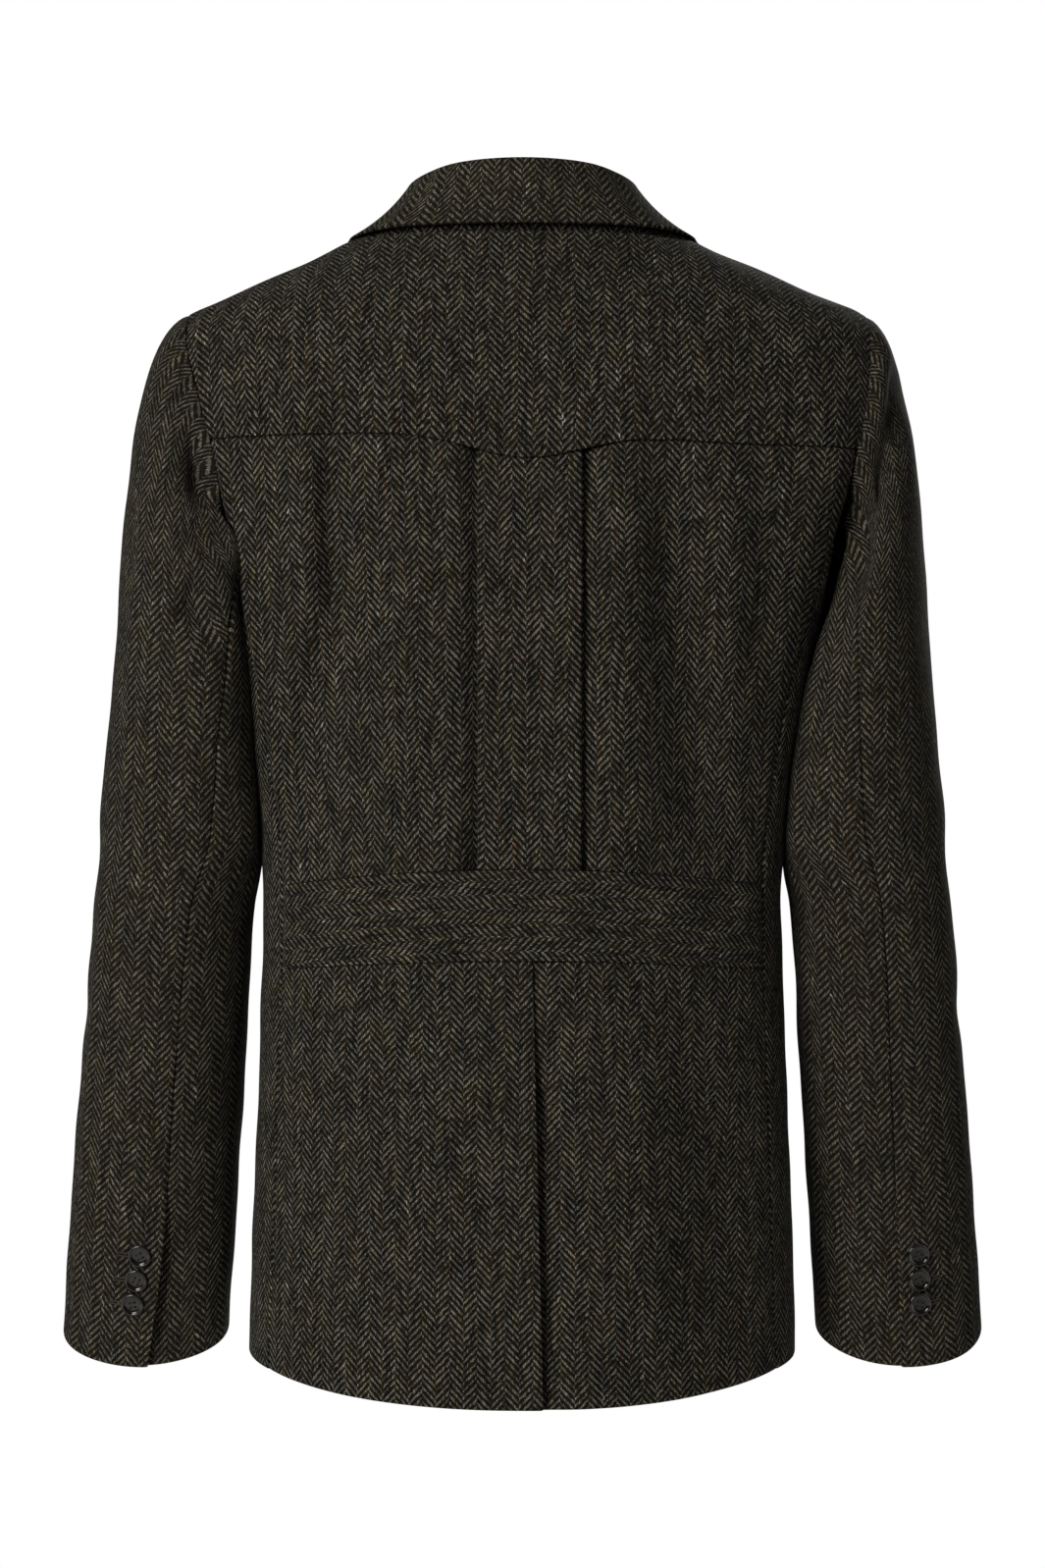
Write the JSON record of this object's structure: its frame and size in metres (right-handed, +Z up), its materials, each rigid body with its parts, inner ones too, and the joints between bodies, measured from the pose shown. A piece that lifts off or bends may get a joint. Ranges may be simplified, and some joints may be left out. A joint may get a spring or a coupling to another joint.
{
  "type": "blazer",
  "caption": "Tailored herringbone wool blazer, filled out as if worn, with a yoked and box-pleated back, a sewn-in back belt, a centre vent and long sleeves with buttoned cuffs.",
  "frame": {"origin": "in the neck opening at the height of the collar seam, where the wearer's shoulders hold the blazer up", "axes": "+Z up, +Y out of the wearer's back towards the picture's camera, +X to the wearer's left"},
  "size_m": [0.6084, 0.2679, 0.7812],
  "materials": {
    "tweed": "matt woollen herringbone",
    "tweed_cross_grain": "matt woollen herringbone, cut across the grain",
    "button": "polished"
  },
  "bodies": {
    "root": {"back_yoke": "tweed", "back_panel": "tweed", "back_belt": "tweed_cross_grain", "back_skirt_left": "tweed", "back_skirt_right": "tweed", "side_left": "tweed", "side_right": "tweed", "front_left": "tweed", "front_right": "tweed", "lapel_left": "tweed", "lapel_right": "tweed", "collar": "tweed", "sleeve_left_top": "tweed", "sleeve_left_under": "tweed", "sleeve_right_top": "tweed", "sleeve_right_under": "tweed", "sleeve_button_left_1": "button", "sleeve_button_left_2": "button", "sleeve_button_left_3": "button", "sleeve_button_right_1": "button", "sleeve_button_right_2": "button", "sleeve_button_right_3": "button", "front_button_1": "button", "front_button_2": "button"}
  },
  "joints": []
}
